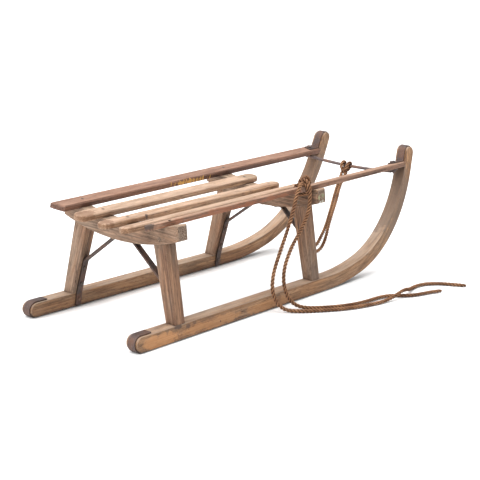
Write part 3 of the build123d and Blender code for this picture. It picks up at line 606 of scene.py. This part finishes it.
def splineLine(piece, step, closed=False):
    mesh = bpy.data.meshes.new_from_object(piece)
    line = [vert.co.copy() for vert in mesh.vertices]
    bpy.data.meshes.remove(mesh)
    bpy.data.objects.remove(piece)
    if closed:
        line.append(line[0].copy())
    runs = [0.0]
    for first, second in zip(line, line[1:]):
        runs.append(runs[-1] + (second - first).length)
    count = max(8, round(runs[-1] / step))
    even, at = [], 0
    for number in range(count if closed else count + 1):
        goal = runs[-1] * number / count
        while at < len(runs) - 2 and runs[at + 1] < goal:
            at += 1
        share = (goal - runs[at]) / max(runs[at + 1] - runs[at], 1e-9)
        even.append(line[at].lerp(line[at + 1], min(1.0, share)))
    return even, runs[-1]


# the frame is carried along the line without twisting, and on a closed line its last turn is shared out
def carriedFrames(line, closed=False):
    count = len(line)
    tangents = []
    for number in range(count):
        before = line[(number - 1) % count] if closed else line[max(number - 1, 0)]
        after = line[(number + 1) % count] if closed else line[min(number + 1, count - 1)]
        tangents.append((after - before).normalized())
    normal = tangents[0].orthogonal().normalized()
    frames = []
    for tangent in tangents:
        normal = (normal - tangent * normal.dot(tangent)).normalized()
        frames.append((tangent, normal.copy(), tangent.cross(normal)))
    extra = 0.0
    if closed:
        tangent, first, side = frames[0]
        last = (frames[-1][1] - tangent * frames[-1][1].dot(tangent)).normalized()
        extra = math.atan2(last.dot(side), last.dot(first))
    return frames, extra


def laidRope(name, line, length, closed=False, freeEnd=False):
    look = ropeSettings
    frames, extra = carriedFrames(line, closed)
    count, sides = len(line), look["sides"]
    turns = length / look["pitch"]
    if closed:
        turns = round(turns) - extra / math.tau
    verts, faces, uvs = [], [], []
    for strand in range(3):
        base = len(verts)
        for number, (place, (tangent, normal, side)) in enumerate(zip(line, frames)):
            along = number / (count if closed else count - 1)
            angle = math.tau * (turns * along + strand / 3)
            narrow = 1.0
            if freeEnd:
                left = length * (1 - along)
                narrow = look["endShare"] + (1 - look["endShare"]) * min(1.0, left / look["endTaper"])
            outward = normal * math.cos(angle) + side * math.sin(angle)
            middle = place + outward * look["strandOffset"] * narrow
            sweepSide = tangent.cross(outward)
            wobble = 1.0 + look["wobble"] * noise.noise(middle * look["wobbleScale"])
            for step in range(sides):
                turn = math.tau * step / sides
                radius = look["strandRadius"] * narrow * wobble
                verts.append(middle + (outward * math.cos(turn) + sweepSide * math.sin(turn)) * radius)
        rows = count if closed else count - 1
        for row in range(rows):
            for step in range(sides):
                nextRow, nextStep = (row + 1) % count, (step + 1) % sides
                faces.append((base + row * sides + step, base + nextRow * sides + step,
                              base + nextRow * sides + nextStep, base + row * sides + nextStep))
                low, high = row * length / count, (row + 1) * length / count
                left, right = step / sides, (step + 1) / sides
                uvs.extend([(low, left), (high, left), (high, right), (low, right)])
        if not closed:
            first = [base + step for step in range(sides)]
            last = [base + (count - 1) * sides + step for step in reversed(range(sides))]
            faces.extend([first, last])
            uvs.extend([(0.0, step / sides) for step in range(sides)])
            uvs.extend([(length, step / sides) for step in reversed(range(sides))])
    piece = makePiece(name, verts, faces)
    layer = piece.data.uv_layers.new(name="lay")
    layer.data.foreach_set("uv", [value for uv in uvs for value in uv])
    return flipOutward(piece)


def flipOutward(piece):
    shell = bmesh.new()
    shell.from_mesh(piece.data)
    bmesh.ops.recalc_face_normals(shell, faces=shell.faces)
    shell.to_mesh(piece.data)
    shell.free()
    return piece


# rope material: yarns wound along each strand, dusty on their crowns, with painted shade between the yarns, on
# each strand's inner side and in the hollows
ropeColoursAndShade = {
    "pale": (0.40, 0.205, 0.105), "brown": (0.21, 0.10, 0.053), "dark": (0.028, 0.013, 0.008),
    "dust": (0.36, 0.235, 0.155), "yarns": 5.0, "wind": 210.0,
    "hairs": 900.0, "blotches": 28.0, "specks": 330.0,
    "cornerShadeReach": 0.006, "cornerShade": 0.85, "strandGapShade": 0.8, "shine": 0.15, "bump": 0.0005, "bumpStrength": 0.9,
}
ropeMaterial, tree, shader = newMaterial("old rope")
unrolled = put(tree, "ShaderNodeUVMap", uv_map="lay").outputs[0]
unrolled = put(tree, "ShaderNodeSeparateXYZ", {0: unrolled}).outputs
place = put(tree, "ShaderNodeTexCoord").outputs["Object"]
advance = calc(tree, "MULTIPLY", unrolled["X"], ropeColoursAndShade["wind"])
wound = calc(tree, "FRACT", calc(tree, "MULTIPLY_ADD", unrolled["Y"], ropeColoursAndShade["yarns"], advance))
crown = calc(tree, "SINE", calc(tree, "MULTIPLY", wound, math.pi))
hairs = speckle(tree, place, ropeColoursAndShade["hairs"], 3.0, 0.7)
blotch = speckle(tree, place, ropeColoursAndShade["blotches"], 4.0, 0.6)
specks = speckle(tree, place, ropeColoursAndShade["specks"], 3.0, 0.6)
color = mix(tree, ramp(tree, blotch, 0.36, 0.66), ropeColoursAndShade["brown"], ropeColoursAndShade["pale"])
# painted shade between the yarns
yarnGapShade = ramp(tree, calc(tree, "MULTIPLY_ADD", specks, 0.6, crown), 0.75, 0.2)
color = mix(tree, yarnGapShade, color, ropeColoursAndShade["dark"])
color = mix(tree, calc(tree, "MULTIPLY", ramp(tree, hairs, 0.52, 0.75), 0.5), color, ropeColoursAndShade["dust"])
# painted shade in the rope's hollows
ropeCornerShade = useGroup(tree, cornerShade, Vector=place, Reach=ropeColoursAndShade["cornerShadeReach"])["Mask"]
color = mix(tree, calc(tree, "MULTIPLY", ropeCornerShade, ropeColoursAndShade["cornerShade"]), color, ropeColoursAndShade["dark"])
outward = calc(tree, "COSINE", calc(tree, "MULTIPLY", unrolled["Y"], math.tau))
# painted shade on the side of each strand that faces the others
strandGapShade = ramp(tree, calc(tree, "MULTIPLY_ADD", specks, 0.5, outward), 0.95, 0.1)
color = mix(tree, calc(tree, "MULTIPLY", strandGapShade, ropeColoursAndShade["strandGapShade"]), color, ropeColoursAndShade["dark"])
tree.links.new(color, shader.inputs["Base Color"])
tree.links.new(calc(tree, "MULTIPLY_ADD", hairs, 0.2, 0.72, clamp=True), shader.inputs["Roughness"])
shader.inputs["Specular IOR Level"].default_value = ropeColoursAndShade["shine"]
bump = put(tree, "ShaderNodeBump", {
    "Height": calc(tree, "MULTIPLY_ADD", hairs, 0.4, crown), "Strength": ropeColoursAndShade["bumpStrength"],
    "Distance": ropeColoursAndShade["bump"]})
tree.links.new(bump.outputs[0], shader.inputs["Normal"])

ropeLines, ropePieces = {}, {}
for name, points in ropeRoutes.items():
    line, length = splineLine(splineCurve(name + "_line", points), ropeSettings["step"])
    piece = laidRope(name + "_laid", line, length, freeEnd="tail" in name)
    dress(piece, ropeMaterial)
    ropeLines[name], ropePieces[name] = (line, length), piece
    print(name, "length", round(length, 3))

# hitch on the rail: two turns round it, each (offset at its inner side, offset at its outer side)
railTurnSettings = {
    "middle": (0.0628, -0.1293, 0.2479), "across": (0.0, -0.9717, 0.2363), "up": (0.0, 0.2363, 0.9717),
    "along": (0.9998, -0.0067, 0.0171), "halfWidth": 0.0193, "halfThick": 0.0108,
    "corners": [(-1.0, 0.25), (-0.78, 1.0), (0.0, 1.04), (0.78, 1.0), (1.0, 0.25),
                (1.0, -0.4), (0.78, -1.0), (0.0, -1.02), (-0.78, -1.0), (-1.0, -0.4)],
    "turns": {"rail_turn_rear": (-0.0025, -0.0045), "rail_turn_front": (0.0025, 0.0045)},
}


def closedRope(name, points):
    line, length = splineLine(splineCurve(name, points, True), ropeSettings["step"], True)
    return laidRope(name, line, length, True)


def railTurn(name, inner, outer):
    look = railTurnSettings
    middle, across, up, along = (Vector(look[key]) for key in ("middle", "across", "up", "along"))
    points = []
    for side, rise in look["corners"]:
        lead = inner + (outer - inner) * (side + 1) / 2
        points.append(middle + across * side * look["halfWidth"] + up * rise * look["halfThick"] + along * lead)
    return closedRope(name, points)


# hitch on the rod: two drop-shaped loops over it, leaning apart by lead, that meet in the gather below
rodTurnSettings = {
    "rod": (0.446, 0.008, 0.2347), "gather": (0.438, 0.008, 0.220), "reach": 0.0078, "shoulder": 0.6,
    "turns": {"rod_turn_left": 0.009, "rod_turn_right": -0.009},
}


# a loop's points are (share of the way up to the rod, ahead, share of the lead, rise)
def rodTurn(name, lead):
    look = rodTurnSettings
    rod, gather, reach = Vector(look["rod"]), Vector(look["gather"]), look["reach"]
    shoulder = look["shoulder"] * reach
    loop = [
        (0.0, -0.003, 0.35, 0.003), (0.5, -0.009, 0.8, 0.002), (1.0, -reach, 1.0, 0.002),
        (1.0, -shoulder, 1.0, reach), (1.0, shoulder, 1.0, reach), (1.0, reach, 1.0, -0.002),
        (0.5, 0.004, 0.7, -0.003), (0.0, 0.005, 0.35, 0.002),
    ]
    return closedRope(name, [gather.lerp(rod, up) + Vector((ahead, lead * share, rise))
                             for up, ahead, share, rise in loop])


# round knot: a trefoil, turned by the two angles about its two axes
knotSettings = {
    "size": 0.0049, "points": 24, "lobes": 1.7, "weave": 1.15, "scale": 0.42,
    "knots": {
        "rail_knot": ((0.064, -0.125, 0.2645), (0.9, "X"), (0.5, "Y")),
        "rod_knot": (rodTurnSettings["gather"], (0.4, "Y"), (0.3, "X")),
    },
}


def knotPiece(name):
    look = knotSettings
    centre, second, first = look["knots"][name]
    turned = Matrix.Rotation(second[0], 3, second[1]) @ Matrix.Rotation(first[0], 3, first[1])
    lobes, points = look["lobes"], []
    for number in range(look["points"]):
        angle = math.tau * number / look["points"]
        points.append(turned @ Vector((
            math.sin(angle) + lobes * math.sin(2 * angle), math.cos(angle) - lobes * math.cos(2 * angle),
            -look["weave"] * math.sin(3 * angle),
        )) * look["size"] * look["scale"] + Vector(centre))
    return closedRope(name, points)


railHitch = [railTurn(name, *offsets) for name, offsets in railTurnSettings["turns"].items()]
railHitch.append(knotPiece("rail_knot"))
rodHitch = [rodTurn(name, lead) for name, lead in rodTurnSettings["turns"].items()]
rodHitch.append(knotPiece("rod_knot"))
for piece in railHitch + rodHitch:
    dress(piece, ropeMaterial)
for piece in list(ropePieces.values()) + railHitch + rodHitch:
    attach(piece, "root")
for name, piece in ropePieces.items():
    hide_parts(name)
for piece in railHitch:
    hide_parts("rail_hitch")
for piece in rodHitch:
    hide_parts("rod_hitch")

# loose fibres: bent hairs scattered over the rope by Geometry Nodes, and each entry is an input of the tree
# lengths are metres, Lean is radians, Density is for each square metre, Facing is the least upward normal
fibreSettings = {
    "Density": 9000.0, "Length": 0.0045, "Thickness": 0.00016, "Tip": 0.00002, "Bow": 75.0, "Lean": 1.15,
    "Facing": -0.05, "Floor": 0.0003, "Seed": 11,
}


def fibreTree():
    tree = bpy.data.node_groups.new("loose fibres", "GeometryNodeTree")
    tree.interface.new_socket("Geometry", in_out="INPUT", socket_type="NodeSocketGeometry")
    for label, value in fibreSettings.items():
        kind = "NodeSocketInt" if label == "Seed" else "NodeSocketFloat"
        tree.interface.new_socket(label, in_out="INPUT", socket_type=kind).default_value = value
    tree.interface.new_socket("Geometry", in_out="OUTPUT", socket_type="NodeSocketGeometry")
    given = put(tree, "NodeGroupInput").outputs
    made = put(tree, "NodeGroupOutput")
    normal = put(tree, "GeometryNodeInputNormal").outputs[0]
    facing = put(tree, "ShaderNodeSeparateXYZ", {0: normal}).outputs["Z"]
    upper = put(tree, "FunctionNodeCompare", {"A": facing, "B": given["Facing"]}, operation="GREATER_THAN")
    roots = put(tree, "GeometryNodeDistributePointsOnFaces", {
        "Mesh": given["Geometry"], "Selection": upper.outputs[0],
        "Density": given["Density"], "Seed": given["Seed"]}).outputs
    hair = put(tree, "GeometryNodeMeshCone", {
        "Vertices": 3, "Side Segments": 4, "Radius Top": given["Tip"], "Radius Bottom": given["Thickness"],
        "Depth": given["Length"]}).outputs["Mesh"]
    position = put(tree, "GeometryNodeInputPosition").outputs[0]
    place = put(tree, "ShaderNodeSeparateXYZ", {0: position}).outputs
    bow = calc(tree, "MULTIPLY", calc(tree, "MULTIPLY", place["Z"], place["Z"]), given["Bow"])
    offset = put(tree, "ShaderNodeCombineXYZ", {"X": bow}).outputs[0]
    bent = put(tree, "GeometryNodeSetPosition", {"Geometry": hair, "Offset": offset}).outputs[0]
    lean = put(tree, "FunctionNodeRandomValue", data_type="FLOAT_VECTOR")
    backward = calc(tree, "MULTIPLY", given["Lean"], -1.0)
    low = put(tree, "ShaderNodeCombineXYZ", {"X": backward, "Y": backward}).outputs[0]
    high = put(tree, "ShaderNodeCombineXYZ", {"X": given["Lean"], "Y": given["Lean"], "Z": math.tau}).outputs[0]
    tree.links.new(low, lean.inputs[0])
    tree.links.new(high, lean.inputs[1])
    tree.links.new(given["Seed"], lean.inputs["Seed"])
    leaned = put(tree, "FunctionNodeEulerToRotation", {0: lean.outputs[0]}).outputs[0]
    turn = put(tree, "FunctionNodeRotateRotation", {0: roots["Rotation"], 1: leaned}, rotation_space="LOCAL")
    hairs = put(tree, "GeometryNodeInstanceOnPoints", {
        "Points": roots["Points"], "Instance": bent, "Rotation": turn.outputs[0]}).outputs[0]
    real = put(tree, "GeometryNodeRealizeInstances", {0: hairs}).outputs[0]
    lifted = put(tree, "ShaderNodeCombineXYZ", {
        "X": place["X"], "Y": place["Y"], "Z": calc(tree, "MAXIMUM", place["Z"], given["Floor"])}).outputs[0]
    laid = put(tree, "GeometryNodeSetPosition", {"Geometry": real, "Position": lifted}).outputs[0]
    finished = put(tree, "GeometryNodeSetMaterial", {"Geometry": laid, "Material": ropeMaterial}).outputs[0]
    tree.links.new(finished, made.inputs[0])
    return tree


def looseFibres(name, rope, tree, seed):
    source = bpy.data.objects.new(name, rope.data.copy())
    scene.collection.objects.link(source)
    modifier = source.modifiers.new("fibres", "NODES")
    modifier.node_group = tree
    for item in tree.interface.items_tree:
        if item.in_out == "INPUT" and item.name in fibreSettings:
            modifier[item.identifier] = seed if item.name == "Seed" else fibreSettings[item.name]
    ready = source.evaluated_get(bpy.context.evaluated_depsgraph_get())
    mesh = bpy.data.meshes.new_from_object(ready)
    source.modifiers.clear()
    source.data = mesh
    dress(source, ropeMaterial)
    return flipOutward(source)


hairTree = fibreTree()
for number, (name, piece) in enumerate(ropePieces.items()):
    hairs = looseFibres(name + "_fibres", piece, hairTree, fibreSettings["Seed"] + number)
    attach(hairs, "root")
    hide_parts(name)
    print(name, "fibres", len(hairs.data.polygons))

# each cord's length in metres, far end, lay, and the hitch on it
cordFacts = {
    "rope_strand_left": (0.540, "object", "hanging", rodHitch),
    "rope_strand_right": (0.565, "object", "hanging", []),
    "rope_tail_left": (0.900, "bare", "loose", railHitch),
    "rope_tail_right": (0.740, "bare", "loose", []),
}
for name, (length, farEnd, lies, hitch) in cordFacts.items():
    line = ropeLines[name][0]
print("ropes laid")

# floor
floorSettings = {"half": 60, "grey": (0.9, 0.9, 0.9, 1.0), "rough": 0.75, "shine": 0.1}
floorMaterial, tree, shader = newMaterial("studio floor")
shader.inputs["Base Color"].default_value = floorSettings["grey"]
shader.inputs["Roughness"].default_value = floorSettings["rough"]
shader.inputs["Specular IOR Level"].default_value = floorSettings["shine"]
half = floorSettings["half"]
floor = makePiece("floor", [(-half, -half, 0), (half, -half, 0), (half, half, 0), (-half, half, 0)],
                  [(0, 1, 2, 3)], smooth=False)
floor.data.materials.append(floorMaterial)

# studio light: soft suns, their angles in degrees, and a sky that the camera sees as white
lightSettings = {
    "sky": 0.5,
    "key": {"from": (-2.6, 0.7, 1.9), "angle": 55, "strength": 2.5},
    "top": {"from": (0.2, 0.3, 3.0), "angle": 85, "strength": 3.6},
    "fill": {"from": (0.4, -3.2, 1.4), "angle": 35, "strength": 0.25},
}
world = bpy.data.worlds.new("studio")
world.use_nodes = True
tree = world.node_tree
seen = put(tree, "ShaderNodeLightPath").outputs["Is Camera Ray"]
background = tree.nodes["Background"].inputs
tree.links.new(ramp(tree, seen, 0.0, 1.0, lightSettings["sky"], 1.0), background["Strength"])
background["Color"].default_value = (1, 1, 1, 1)
scene.world = world
for name in ("key", "top", "fill"):
    look = lightSettings[name]
    data = bpy.data.lights.new(name, "SUN")
    data.angle = math.radians(look["angle"])
    data.energy = look["strength"]
    lamp = bpy.data.objects.new(name, data)
    lamp.rotation_euler = (-Vector(look["from"])).to_track_quat("-Z", "Y").to_euler()
    scene.collection.objects.link(lamp)
scene.view_settings.view_transform = "Standard"
